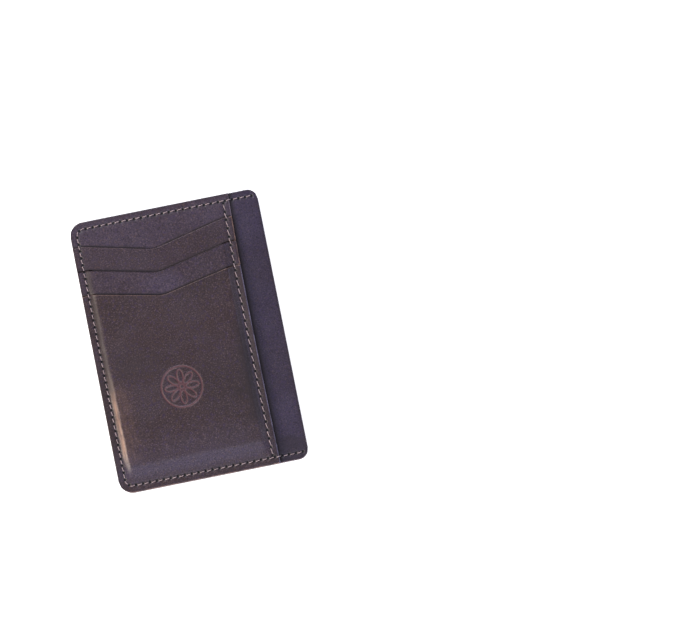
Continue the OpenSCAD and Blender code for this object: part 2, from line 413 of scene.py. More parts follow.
HOLE_OFFSETS = (-0.62, -0.34, 0, 0.34, 0.62)
SEAM_OFFSETS = (-0.9, *HOLE_OFFSETS, 0.9)
RIM_OFFSETS = (0.5, 0.8, 1.2)
outer_x = outer_seam["holes"][outer_seam["holes"][:, 1] > WALLET_H - SEAM_INSET - 0.1, 0]
side_y = outer_seam["holes"][outer_seam["holes"][:, 0] < SEAM_INSET + 0.1, 1]
edge_y = edge_seam["holes"][:, 1]
seam_columns = around([SEAM_INSET, EDGE_SEAM_X], SEAM_OFFSETS)
rim_columns = np.concatenate([RIM_OFFSETS, STACK_W - np.array(RIM_OFFSETS)])
climb_ends = ((TAIL_LEFT - 2.6, TAIL_LEFT + 1), (TAIL_RIGHT - 1, TAIL_RIGHT + 2.6))
climb_columns = np.concatenate([even(low, high, 0.3) for low, high in climb_ends])
hole_columns = around(outer_x, HOLE_OFFSETS)
left_rows, right_rows = around(side_y, HOLE_OFFSETS), around(edge_y, HOLE_OFFSETS)
print("columns near holes:", len(hole_columns), "rows near holes:", len(left_rows) + len(right_rows))

# %% [markdown]
# ## From a grid to a sheet of leather
#
# A sheet needs two faces and a rim. The grid is used twice, for the grain side and the flesh side,
# and the cells' free sides are found by counting: an edge used by one cell is on the rim. The rim is
# carried round a half ellipse, because a leather edge is sanded and burnished round. Left sharp, it
# would look like card.

# %% Make a sheet's mesh
RIM_RINGS = 6
# A rim's raw colour carries a painted highlight on the stack's edge, the mouths' lips and the bottom.
RIM_START = 0.6  # how much of its raw colour a rim has already where the flat face ends
# bend, bloom, raw and grime also carry painted highlight, sheen and shade.
MARKS = ("edge", "hole", "seam", "bend_and_highlight", "stamp", "bloom_and_sheen", "raw_and_highlight", "grime_and_shade")


def rim_of(cells, index):
    """The cells' quads and the rim's edges, which no two quads share, with the leather on the left."""
    corners = (index[:-1, :-1], index[1:, :-1], index[1:, 1:], index[:-1, 1:])
    quads = np.stack([points[cells] for points in corners], 1)
    edges = np.concatenate([quads[:, [i, (i + 1) % 4]] for i in range(4)])
    keys = np.sort(edges, 1) @ np.array([index.size, 1])
    _, first, counts = np.unique(keys, return_index=True, return_counts=True)
    return quads, edges[first[counts == 1]]


def outward(points, edges):
    """Unit directions out of the sheet at the rim's points: the sum of both edges' right-hand normals."""
    run = points[edges[:, 1]] - points[edges[:, 0]]
    normal = unit(np.stack([run[:, 1], -run[:, 0]], 1))
    total = np.zeros_like(points)
    np.add.at(total, edges[:, 0], normal)
    np.add.at(total, edges[:, 1], normal)
    return unit(total)


def sheet(x, y, top, under, cells, bulge):
    """Points and faces of a sheet. The rim follows a half ellipse as tall as the leather, bulge deep."""
    n = x.size
    index = np.arange(n).reshape(x.shape)
    quads, edges = rim_of(cells, index)
    flat = np.stack([x.ravel(), y.ravel()], 1)
    on_rim = np.unique(edges)
    out = outward(flat, edges)[on_rim]
    high, low = top.ravel()[on_rim], under.ravel()[on_rim]
    rings, ring_start = [], 2 * n + len(on_rim) * np.arange(RIM_RINGS)
    for angle in np.pi / 2 - np.pi * np.arange(1, RIM_RINGS) / RIM_RINGS:
        at = flat[on_rim] + out * bulge * (math.cos(angle) - 1)
        rings.append(np.column_stack([at, (high + low) / 2 + (high - low) / 2 * math.sin(angle)]))
    inset = flat.copy()
    inset[on_rim] -= out * bulge
    flat_faces = [np.column_stack([inset, z.ravel()]) for z in (top, under)]
    points = np.concatenate(flat_faces + rings)
    place = np.zeros(n, int)
    place[on_rim] = np.arange(len(on_rim))
    levels = [edges] + [place[edges] + ring_start[i] for i in range(RIM_RINGS - 1)] + [edges + n]
    faces = [quads, quads[:, ::-1] + n]
    for upper, lower in zip(levels, levels[1:]):
        faces.append(np.stack([upper[:, 0], lower[:, 0], lower[:, 1], upper[:, 1]], 1))
    source = np.concatenate([np.arange(n), np.arange(n), np.tile(on_rim, RIM_RINGS - 1)])
    rounded = np.concatenate([np.zeros(2 * n), np.ones(len(on_rim) * (RIM_RINGS - 1))])
    rounded[np.concatenate([on_rim, on_rim + n])] = RIM_START
    return points, np.concatenate(faces), source, rounded


def to_frame(points, side):
    """Flat millimetres to the frame's metres, centred on the wallet, with z turned round for the back."""
    z = HALF_T + points[:, 2] * (1 if side == "front" else -1)
    return np.column_stack([points[:, 0] - WALLET_W / 2, points[:, 1] - WALLET_H / 2, z]) * MM


def make_object(name, points, faces, side, marks=None):
    """A mesh object in the frame from flat points and quads, with its marks stored on its points."""
    used, faces = np.unique(faces, return_inverse=True)
    faces = faces.reshape(-1, 4)
    if side == "back":
        faces = faces[:, ::-1]
    mesh = bpy.data.meshes.new(name)
    mesh.vertices.add(len(used))
    mesh.vertices.foreach_set("co", to_frame(points[used], side).astype(np.float32).ravel())
    mesh.loops.add(faces.size)
    mesh.loops.foreach_set("vertex_index", faces.ravel().astype(np.int32))
    mesh.polygons.add(len(faces))
    mesh.polygons.foreach_set("loop_start", np.arange(0, faces.size, 4, dtype=np.int32))
    mesh.update(calc_edges=True)
    mesh.validate()
    mesh.polygons.foreach_set("use_smooth", np.ones(len(mesh.polygons), bool))
    for mark, values in (marks or {}).items():
        layer = mesh.attributes.new(mark, "FLOAT", "POINT")
        layer.data.foreach_set("value", values[used].astype(np.float32))
    return added(name, mesh), used


print("marks stored on the points:", ", ".join(MARKS))

# %% [markdown]
# ## Leather moves a little
#
# Nothing sewn by hand stays straight. The stack's free edge bows in by half a millimetre and lifts at
# its middle, where only one seam holds it, and each free mouth curls up slightly. The same small shift
# is applied to leather and thread, so nothing comes apart.

# %% Relax the shape
BOW, FLARE, LIFT = 0.30, 0.45, 0.35


def relaxed(points):
    """Flat points with the stack's edge bowed in by a sine, flared at its top and lifted by sine squared."""
    x, y, z = points.T
    up_share = np.clip(y / WALLET_H, 0, 1)
    near_edge = smooth(x, 30, STACK_W) * (1 - smooth(x, STACK_W + 0.5, WALLET_W))
    flare = FLARE * (2 * up_share - 1) ** 2 * smooth(up_share, 0.4, 1.0)
    dx = near_edge * (flare - BOW * np.sin(np.pi * up_share))
    free = smooth(x, EDGE_SEAM_X + 0.4, STACK_W + 0.2) * smooth(z, INNER_TOP, BACKING_TOP)
    dz = LIFT * free * np.sin(np.pi * up_share) ** 2
    return np.column_stack([x + dx, y, z + dz])


edge_middle = np.array([[STACK_W, WALLET_H / 2, SLOT_TOP]])
print("middle of the stack's edge moves by", np.round((relaxed(edge_middle) - edge_middle)[0], 2), "mm")

# %% [markdown]
# ## The blind stamp
#
# The pocket carries a mark pressed in with a heated die and no ink. Here it is a plain one: a ring
# round a rosette of eight petals. The drawing is a formula in polar coordinates, the distance to the
# nearest line, and the pressed depth falls off across each line's width.

# %% Draw the stamp
STAMP_X, STAMP_Y = 31.5, 36.8
STAMP_R = 8.0
PETALS = 8
PETAL_AT, PETAL_LONG, PETAL_HALF = 4.15, 2.55, 1.15
EYE_R = 0.95
LINE_WIDE, STAMP_DEPTH = 0.36, 0.16


def stamp_mask(x, y):
    """1 on a stamped line, 0 off it: distances to a ring, an eye and a petal's ellipse, turned round."""
    dx, dy = x - STAMP_X, y - STAMP_Y
    r, angle = np.hypot(dx, dy), np.arctan2(dy, dx)
    turn = 2 * np.pi / PETALS
    folded = (angle + turn / 2) % turn - turn / 2
    u, v = (r * np.cos(folded) - PETAL_AT) / PETAL_LONG, r * np.sin(folded) / PETAL_HALF
    f = np.maximum(np.hypot(u, v), 1e-6)
    petal = np.abs(f - 1) * f / np.maximum(np.hypot(u / PETAL_LONG, v / PETAL_HALF), 1e-6)
    nearest = np.minimum.reduce([np.abs(r - STAMP_R), petal * 1.25, np.abs(r - EYE_R)])
    return np.exp(-((nearest / LINE_WIDE) ** 4))


print("stamp is", 2 * STAMP_R, "mm across")

# %% [markdown]
# ## One leather panel
#
# Each panel is a grid, a top height and an underside. The marks stored on the points say how close a cut
# edge is, where the leather is bent and so paler, with a painted highlight there, where a hole or a seam
# is, where it is stamped, and where painted shade and a painted sheen lie.

# %% Turn a cut into a piece
RIM_BULGE = 0.32
EDGE_FADE = 0.75


def leather_panel(name, side, x, y, cells, top, under, marks, shown=1.0, edge_too=True):
    """A panel pressed in by its seams where they show: the piece, and its points' flat places."""
    pressed, holes, valley = sewing_marks(x, y, edge_too)
    points, faces, source, rounded = sheet(x, y, top - pressed * shown, under + 0 * x, cells, RIM_BULGE)
    marks = {"hole": holes, "seam": valley, **marks}
    stored = {mark: (marks.get(mark, 0) + 0 * x).ravel()[source] for mark in MARKS}
    stored["raw_and_highlight"] *= rounded
    piece, used = make_object(f"{side}_{name}_leather", relaxed(points), faces, side, stored)
    print(piece.name, len(piece.data.polygons), "faces")
    return piece, points[used]


def edge_mark(*distances):
    """1 at a cut edge, falling off as exp(-d) with the distance to the nearest of the panel's edges."""
    return np.exp(-np.maximum(np.minimum.reduce(distances), 0) / EDGE_FADE)


print("1 mm from a cut the edge mark is", round(float(edge_mark(np.array([1.0]))[0]), 2))

# %% [markdown]
# ## Where the leather is worn, and where light and shade are painted
#
# Use marks a wallet unevenly, and the same masks carry painted light. The slope beside the spine is paler,
# partly rubbed and partly a painted highlight, with a painted warm glow beside it. Wax bloom and a
# painted cool sheen lie on the bands and rims, painted shade lies over the mouths, beside the stack and on
# the climb's upper half, and darker patches lie on the pocket and its margins. Each mark is a product of
# soft steps and bells in x and y, so that one number moves or weakens it, and it follows the panel's shape.

# %% Describe wear, sheen and painted shade
def spine_slope(x, y):
    """1 halfway up the climb beside the spine seam and 0 where the leather lies flat: 4t(1 - t)."""
    return 4 * across(x, y) * (1 - across(x, y)) * (x < MOUTH_X)


def dull_and_shaded(x, y):
    """Painted shade, with a rougher surface, on the upper half of the climb beside the spine."""
    return 0.9 * spine_slope(x, y) * smooth(y, 27, 50)


def worn_and_highlit(x, y):
    """Wear with a painted highlight: the slope along the spine, paler and warmer, most towards its lower
    end.
    """
    low = 0.14 + 0.86 * smooth(50 - y, 0, 18)
    return spine_slope(x, y) * smooth(y, 9, 17) * low


def painted_glow(x, y):
    """A painted warm glow beside the pocket's shoulder: a low patch, a finger wide."""
    return 0.16 * smooth(x, 3.8, 5.6) * (1 - smooth(x, 6, 14)) * smooth(45 - y, 0, 8) * smooth(y, 9, 14)


def stains_and_shade(x, y):
    """Where the pocket is darker: far shoulder, two blots, a bar, the margin, the seam's gutter, and painted
    shade.
    """
    shoulder = 0.75 * bump(x, 57.8, 2.2) * smooth(y, 13, 24) * (1 - smooth(y, 50, 66))
    blots = 0.45 * bump(x, 53, 4) * bump(y, 30, 2.6) + 0.35 * bump(x, 55.5, 2.5) * bump(y, 20, 2)
    bar = 0.30 * bump(y, 49, 7) * (1 - smooth(x, 18, 40)) * smooth(x, 6, 9)
    margin = 0.30 * (1 - smooth(x, 1.8, 2.6)) * smooth(60 - y, 0, 16)
    gutter = 0.5 * bump(x, EDGE_SEAM_X + 1.1, 0.4)
    return shoulder + blots + bar + margin + gutter + dull_and_shaded(x, y)


def pocket_sheen(x, y):
    """Painted cool sheen on the pocket: a reflection on its lower-end slope, a highlight by the far seam,
    and at the rim.
    """
    end_slope = 0.65 * (1 - smooth(y, FEET[1] - 2.2, FEET[1] + 1.4))
    end_slope = end_slope + 0.35 * (1 - smooth(y, FEET[1], FEET[0] + 4))
    end_slope = end_slope * smooth(y, 1.5, 8.5) * (1 - 0.35 * smooth(x, 45, 60))
    far_line = 0.9 * bump(x, EDGE_SEAM_X - 0.80, 0.45) * smooth(76 - y, 0, 20) * smooth(y, 14, 24)
    rim = smooth(x, STACK_W - 0.8, STACK_W) + 0.25 * (y < 1)
    return np.clip(end_slope + far_line + rim, 0, 1)


def raw_edge_and_highlight(x, y):
    """How pale the cut edges are, with a painted highlight: palest beside the strip and along the bottom."""
    return np.where(x > STACK_W - 1, 1.25, np.where(y < 1, 0.8, 0.14))


def under_mouth(above):
    """Painted shadow in the corner over a lower layer's mouth: 1 at the line, gone 1 mm above and just
    below.
    """
    return (1 - smooth(above, 0.35, 1.05)) * smooth(above, -0.7, -0.2)


def strip_bloom_and_sheen(x, y):
    """Bloom and painted sheen on the bare strip: even, with more near its top and on a patch near its lower
    end.
    """
    return 0.60 + 0.8 * bump(y, 99, 7) + 0.6 * bump(x, 70.5, 3) * bump(y, 18, 6)


def strip_shade(x, y):
    """Dark on the bare strip: the stack's painted shadow beside it, and a darker patch with a clear
    lower-end edge.
    """
    stack_shadow = 1 - smooth(x, STACK_W + 0.2, STACK_W + 2.2)
    return np.maximum(stack_shadow, 0.50 * (1 - smooth(y + 0.25 * (x - 68), 9.2, 10.4)))


whole_stack = np.meshgrid(even(0, STACK_W, 1), even(0, WALLET_H, 1))
# The share counts wear and the painted highlight on the slope together.
print("rubbed pale:", round(100 * float((worn_and_highlit(*whole_stack) > 0.5).mean()), 1), "% of the pocket's side")

# %% [markdown]
# ## The inner panel and the backing
#
# Two plain panels stiffen each half. The inner one is as large as the wallet, and its bare strip shows
# beside the stack. The backing shows above the first mouth and carries the slots. Their corners are
# rounded at the spine, so the grid's first and last lines follow the cut. The seam crosses in a band
# at each end, where rows crowd round its holes.

# %% Cut the plain panels
SPINE_R, EDGE_R = 5.5, 4.2  # radius of a corner at the spine, and of one at the open edge
END_BAND = 8.0              # height of the band at each end where rows crowd round the holes
COLUMN_GAP, PLAIN_STEP = 0.14, 0.7
plain_columns = even(0.5, STACK_W - 0.5, PLAIN_STEP)


def shares(*groups, closest=0.012):
    """Sorted shares of a band from all groups, from 0 to 1."""
    return merged(*groups, low=0, high=1, closest=closest)


def end_shares(start, step):
    """Shares of the top band: rows near the rim and through the holes, then even ones from start on."""
    through_holes = around([SEAM_INSET], HOLE_OFFSETS) / END_BAND
    return np.concatenate([[0.055, 0.1, 0.2], through_holes, even(start, 1, step)])


def stack_columns(*groups):
    """Columns of a panel as wide as the stack: at its seams, its rims and in the given groups."""
    return merged(seam_columns, rim_columns, *groups, low=0, high=STACK_W, closest=COLUMN_GAP)


def inner_panel(side):
    """The full-size panel, with a row of holes near three edges and the bare strip beside the stack."""
    columns = merged(around([SEAM_INSET], SEAM_OFFSETS), hole_columns, RIM_OFFSETS, even(1.2, STACK_W, 1.2),
                     even(STACK_W - 1, WALLET_W - 0.5, 0.45), low=0, high=WALLET_W, closest=COLUMN_GAP)
    cut, level = corner(columns, SPINE_R, WALLET_W, EDGE_R), 0 * columns
    ends = end_shares(0.45, 0.12)
    middle = shares(band_shares(left_rows, WALLET_H - END_BAND, END_BAND), closest=0.002)
    lines = [WALLET_H - cut, WALLET_H - END_BAND + level, END_BAND + level, cut]
    x, y, cells = panel_grid(columns, lines, [shares(ends), middle, shares(1 - ends)])
    # bloom: lightening with painted sheen; raw: cut edges, painted bottom-rim highlight; grime: painted
    # stack shadow.
    marks = {"edge": edge_mark(x, WALLET_W - x, WALLET_H - cut - y, y - cut), "bloom_and_sheen": strip_bloom_and_sheen(x, y),
             "raw_and_highlight": np.where(y < 1, 0.9, 0.35), "grime_and_shade": strip_shade(x, y)}
    return leather_panel("inner_panel", side, x, y, cells, INNER_TOP, INNER_Z, marks, edge_too=False)


def backing(side):
    """The panel that carries the slots: fine rows down to the first mouth, even ones where it is hidden."""
    columns = stack_columns(hole_columns, plain_columns)
    cut, level = corner(columns, SPINE_R), 0 * columns
    hidden_from = MOUTH_LOWS[0] - 4
    ends = end_shares(0.45, 0.12)
    shown = shares(band_shares([*left_rows, *right_rows], WALLET_H - END_BAND, hidden_from), closest=0.02)
    lines = [WALLET_H - cut, WALLET_H - END_BAND + level, hidden_from + level, END_BAND + level, cut]
    bands = [shares(ends), shown, even(0, 1, 0.012), shares(1 - ends)]
    x, y, cells = panel_grid(columns, lines, bands)
    above = y - mouth_y(0, x)
    # grime: painted shade over the first mouth; bloom: wax bloom with painted cool sheen; raw: cut edges,
    # painted highlight.
    marks = {"edge": edge_mark(x, STACK_W - x, WALLET_H - cut - y, y - cut), "bloom_and_sheen": 0.68,
             "raw_and_highlight": raw_edge_and_highlight(x, y), "grime_and_shade": under_mouth(above)}
    shown = 1 - smooth(-above, 0.5, 1.5)
    return leather_panel("backing", side, x, y, cells, BACKING_TOP, BACKING_Z, marks, shown)


print("plain columns", len(plain_columns), "rows in an end band", len(shares(end_shares(0.45, 0.12))))

# %% [markdown]
# ## The slot panels
#
# Each slot panel is cut as a T: a band as wide as the stack that shows between two mouths, and a
# narrower tail that hangs down inside and stops the card. The T saves leather and keeps the sewn
# margins thin. In the grid, the cells beside the tail are left out.

# %% Cut the slot panels
BUTT_GAP = 0.1  # the band ends this far above the next layer, and they meet edge to edge
TAIL_TOP = 5.0  # rows crowd for this far below the next mouth
SLOT_CURL = 0.10


def sewn_shares(upper, lower):
    """Shares of a band for rows through the holes at its left end, and for those at its right end."""
    left = band_shares(left_rows, upper[0], lower[0])
    return np.concatenate([left, band_shares(right_rows, upper[-1], lower[-1])])


def slot_panel(side, k):
    """A T-shaped slot panel: a band below mouth k down to mouth k + 1, and a tail down to its foot."""
    columns = stack_columns(climb_columns, [TAIL_LEFT, TAIL_RIGHT], plain_columns)
    tail_columns = [np.argmin(np.abs(columns - edge)) for edge in (TAIL_LEFT, TAIL_RIGHT)]
    columns[tail_columns] = TAIL_LEFT, TAIL_RIGHT
    next_mouth = mouth_y(k + 1, columns)
    lines = [mouth_y(k, columns), next_mouth + BUTT_GAP, next_mouth - TAIL_TOP, FEET[k] + 0 * columns]
    band = shares(sewn_shares(lines[0], lines[1]), [0.045, 0.08, 0.13, 0.19], even(0.06, 0.94, 0.06))
    x, y, cells = panel_grid(columns, lines, [band, even(0, 1, 0.1), even(0, 0.99, 0.02)])
    in_tail = (columns[:-1] >= TAIL_LEFT - 1e-6) & (columns[1:] <= TAIL_RIGHT + 1e-6)
    cells[len(band) - 1:, ~in_tail] = False
    above_next = y - mouth_y(k + 1, x)
    patch = bump(x, 32.5, 6) * bump(y, MOUTH_LOWS[2] + 4.5, 3.2)
    # bend: wear with painted highlight; grime: painted shade over the next mouth and on the upper climb.
    marks = {"edge": edge_mark(x, STACK_W - x), "bend_and_highlight": 0.6 * k * worn_and_highlit(x, y), "raw_and_highlight": raw_edge_and_highlight(x, y),
             "bloom_and_sheen": 0.28 + 0.20 * k + 0.8 * k * patch,
             "grime_and_shade": np.maximum(under_mouth(above_next), k * dull_and_shaded(x, y))}
    top = slot_2_top(x, y) if k else SLOT_TOP
    top = top + SLOT_CURL * smooth(y - mouth_y(k, x), -3.0, 0) * across(x, y)
    shown = smooth(above_next, -0.6, -0.1)
    return leather_panel(f"slot_{k + 1}", side, x, y, cells, top, top - SLOT_T, marks, shown)


print("tails end", np.round(FEET, 1), "mm above the bottom edge")

# %% [markdown]
# ## The outer pocket
#
# The pocket is the piece that shows most. It drapes over both tails, is sewn on three sides, and on
# the front it is stamped, so there its rows and columns also crowd over the stamp.

# %% Cut the pocket
FINE_TOP = 60.0  # rows through the holes and the stamp reach up to here
STAMP_STEP, STAMP_ROOM = 0.28, 0.6
POCKET_CURL = 0.12


def pocket_grid(stamped):
    """The pocket's grid and its lower edge, with rows and columns crowded over the stamp if it has one."""
    reach = STAMP_R + STAMP_ROOM
    fine = [even(at - reach, at + reach, STAMP_STEP) if stamped else [] for at in (STAMP_X, STAMP_Y)]
    coarse = np.concatenate([hole_columns, plain_columns])
    coarse = coarse[np.abs(coarse - STAMP_X) > reach] if stamped else coarse
    columns = stack_columns(climb_columns, fine[0], coarse)
    cut, level = corner(columns, SPINE_R), 0 * columns
    lines = [mouth_y(2, columns), FINE_TOP + level, END_BAND + level, cut]
    first = shares(sewn_shares(lines[0], lines[1]), [0.025, 0.045, 0.07], even(0.05, 1, 0.05), closest=0.008)
    rows = merged(left_rows, right_rows, fine[1], even(END_BAND, FINE_TOP, PLAIN_STEP),
                  low=END_BAND, high=FINE_TOP, closest=0.19)
    last = [1 - end_shares(0.42, 0.08), 1 - band_shares(right_rows, END_BAND, 0)]
    bands = [first, (FINE_TOP - rows[::-1]) / (FINE_TOP - END_BAND), shares(*last, closest=0.02)]
    return *panel_grid(columns, lines, bands), cut


def pocket(side):
    """The outer pocket: from the third mouth to the bottom edge, draped, sewn, and stamped on the front."""
    stamped = side == "front"
    x, y, cells, cut = pocket_grid(stamped)
    stamp = stamp_mask(x, y) if stamped else 0
    above = y - mouth_y(2, x)
    top = pocket_top(x, y) + POCKET_CURL * smooth(above, -4.0, 0) * across(x, y)
    # bend: wear, painted highlight and glow; grime: darker patches and painted shade; bloom: painted sheen.
    marks = {"edge": edge_mark(x, STACK_W - x, y - cut), "bend_and_highlight": worn_and_highlit(x, y) + painted_glow(x, y),
             "grime_and_shade": stains_and_shade(x, y), "bloom_and_sheen": pocket_sheen(x, y), "stamp": stamp,
             "raw_and_highlight": np.maximum(raw_edge_and_highlight(x, y), 0.40 * (above > -1))}
    return leather_panel("pocket", side, x, y, cells, top - STAMP_DEPTH * stamp, top - POCKET_T, marks)


print("rows and columns of the stamped pocket:", pocket_grid(True)[0].shape)

# %% [markdown]
# ## Weights for leather at a mouth
#
# A mouth has no hinge: the leather bows out in the middle and stays put where it is sewn. Each panel
# is one continuous piece. A weight for each point is worked out, a product of two smooth steps, one
# rising towards the free edge and one falling to nothing at both sewn ends, but it is not applied: each
# piece only has its transform baked.

# %% Make the panels and work out their lip weights
def bend_towards_lip(piece, weight):
    """Bakes the piece's transform into its points. The weight is not used."""
    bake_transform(piece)


def edge_lip_weight(flat):
    """Weight on an inner panel: rising across the bare strip, none at the sewn top and bottom ends."""
    x, from_end = flat[:, 0], np.minimum(flat[:, 1], WALLET_H - flat[:, 1])
    return smooth(x, STACK_W - 1.5, STACK_W + 5) * smooth(from_end, 3.6, 34)


def mouth_lip_weight(flat, k, reach):
    """Weight on a slot's mouth: rising towards the free edge, none at the seams on either side."""
    x, y = flat[:, 0], flat[:, 1]
    sides = smooth(x, TAIL_LEFT, MOUTH_X - 6) * (1 - smooth(x, MOUTH_X + 6, TAIL_RIGHT))
    return sides * smooth(y, MOUTH_LOWS[k] - reach, MOUTH_LOWS[k] - 0.2 * reach)


LIP_REACH = [7.5, 7.5, 16.0]
leather_pieces = {"outer": [], "inner": []}
for side in ("front", "back"):
    piece, flat = inner_panel(side)
    bend_towards_lip(piece, edge_lip_weight(flat))
    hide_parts(f"{side}_inner_panel", f"{side}_mouth_lip")
    leather_pieces["inner"].append(piece)
    piece, flat = backing(side)
    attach(piece, "wallet")
    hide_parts(f"{side}_backing")
    leather_pieces["outer"].append(piece)
    for k, name in enumerate(("slot_1", "slot_2", "pocket")):
        piece, flat = pocket(side) if name == "pocket" else slot_panel(side, k)
        bend_towards_lip(piece, mouth_lip_weight(flat, k, LIP_REACH[k]))
        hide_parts(f"{side}_{name}", f"{side}_{name}_lip")
        leather_pieces["outer"].append(piece)

# %% [markdown]
# ## Sewing with twisted thread
#
# One thread runs the whole seam: it lies on the leather for a stitch, dives into a hole and comes up
# again out of the same hole. Its line is the seam's path plus a height that repeats at every stitch.
# The section has three lobes that turn as it goes, so it reads as three plies twisted together. Rings
# stay square to the seam, which keeps the tube whole where it dives.

# %% Make the threads
THREAD_R = 0.135
DIVE = 0.74
DIVE_FROM, DIVE_TO = 0.26, 0.76
RINGS_PER_STITCH, THREAD_SIDES = 22, 12
TWIST_MM = 1.3


def thread_line(sewn, level, sunk, slant, lean):
    """A thread's centre line: along the seam, arched over each stitch, slanting across it, leaning out."""
    t = np.arange(RINGS_PER_STITCH) / RINGS_PER_STITCH
    share = (1 - np.cos(np.pi * t)) / 2
    s = np.append((np.arange(sewn["count"])[:, None] + share).ravel(), sewn["count"]) * sewn["step"]
    part = np.append(np.tile(share, sewn["count"]), 0.0)
    at = sewn["path"](s)
    ahead = heading(sewn["path"], s, sewn["length"], 0.2)
    aside = np.column_stack([-ahead[:, 1], ahead[:, 0]])
    from_hole = np.minimum(part, 1 - part) * sewn["step"]
    lying = smooth(from_hole, DIVE_FROM, DIVE_TO)
    at = at + aside * (slant * (1 - 2 * part) * smooth(from_hole, 0, 0.45) - lean * lying)[:, None]
    z = level(at[:, 0], at[:, 1]) + (THREAD_R - sunk) * lying - DIVE * (1 - lying)
    return s, np.column_stack([at, z]), aside, 1 - smooth(from_hole, 0.34, 0.56)


def thread_tube(s, line, aside):
    """Tube of three turning lobes round a line: the radius swells and shrinks three times round."""
    turn = np.arange(THREAD_SIDES) * 2 * np.pi / THREAD_SIDES
    phase = 2 * np.pi * s[:, None] / TWIST_MM
    radius = THREAD_R * (1 + 0.14 * np.cos(3 * (turn[None, :] - phase / 3)))
    level_aside = np.column_stack([aside, np.zeros(len(s))])
    across_part = (radius * np.cos(turn))[:, :, None] * level_aside[:, None, :]
    up_part = (radius * np.sin(turn))[:, :, None] * np.array([0, 0, 1.0])
    points = (line[:, None, :] + across_part + up_part).reshape(-1, 3)
    ring = np.arange(THREAD_SIDES)
    start = THREAD_SIDES * np.arange(len(s) - 1)[:, None]
    a, b = start + ring, start + (ring + 1) % THREAD_SIDES
    faces = np.stack([a, a + THREAD_SIDES, b + THREAD_SIDES, b], 2).reshape(-1, 4)
    return points, faces


def capped(points, faces):
    """The tube with its two ends closed by strips of quads across the end rings."""
    half = THREAD_SIDES // 2
    i = np.arange(half - 1)
    strip = np.stack([i, i + 1, THREAD_SIDES - 2 - i, THREAD_SIDES - 1 - i], 1)
    last = len(points) - THREAD_SIDES
    return np.concatenate([faces, strip, strip[:, ::-1] + last])


def sew(name, sewn, level, side, node, sunk=0.1, slant=0.0, lean=0.0):
    """A thread piece along a seam that hides its CAD node and rides on the wallet."""
    s, line, aside, deep = thread_line(sewn, level, sunk, slant, lean)
    points, faces = thread_tube(s, line, aside)
    marks = {"hole": np.repeat(deep, THREAD_SIDES)}
    piece, _ = make_object(name, relaxed(points), capped(points, faces), side, marks)
    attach(piece, "wallet")
    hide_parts(node)
    print(name, len(piece.data.polygons), "faces")
    return piece


def flat_level(z):
    """A level function for leather that is flat at z."""
    return lambda x, y: z + 0 * x


HIDDEN = {"sunk": 2 * THREAD_R - 0.05}  # between two layers a thread stands 0.05 mm out of the leather
threads = {"needle": [], "bobbin": []}


def sew_pair(name, node, sewn, needle, bobbin):
    """Both threads of a seam, each given by the side it lies on, its level and its other settings."""
    for kind, (side, level, settings) in (("needle", needle), ("bobbin", bobbin)):
        piece = sew(f"{name}_{kind}_thread", sewn, level, side, f"{node}_{kind}_thread", **settings)
        threads[kind].append(piece)


outer_needle = ("front", margin_top, {"slant": -0.22, "lean": 0.16})
outer_bobbin = ("back", margin_top, {"slant": 0.24, "lean": 0.16})
sew_pair("outer_seam", "perimeter", outer_seam, outer_needle, outer_bobbin)
for side, other in (("front", "back"), ("back", "front")):
    needle, bobbin = (side, margin_top, {"slant": -0.32}), (other, flat_level(-INNER_Z), HIDDEN)
    sew_pair(f"{side}_edge_seam", f"{side}_edge", edge_seam, needle, bobbin)
    needle, bobbin = (side, flat_level(SLOT_TOP), HIDDEN), (other, flat_level(-BACKING_Z), HIDDEN)
    for k, foot in enumerate(foot_seams):
        sew_pair(f"{side}_foot_seam_{k + 1}", f"{side}_slot_{k + 1}", foot, needle, bobbin)

# %% [markdown]
# ## Shader sums as plain sums
#
# Node trees for leather are long sums of masks. A small class wraps a socket so that Python's own
# operators add the Math nodes, and the material reads like the formula it is. Colours are mixed by
# one Mix node, because a Math node would turn them grey.

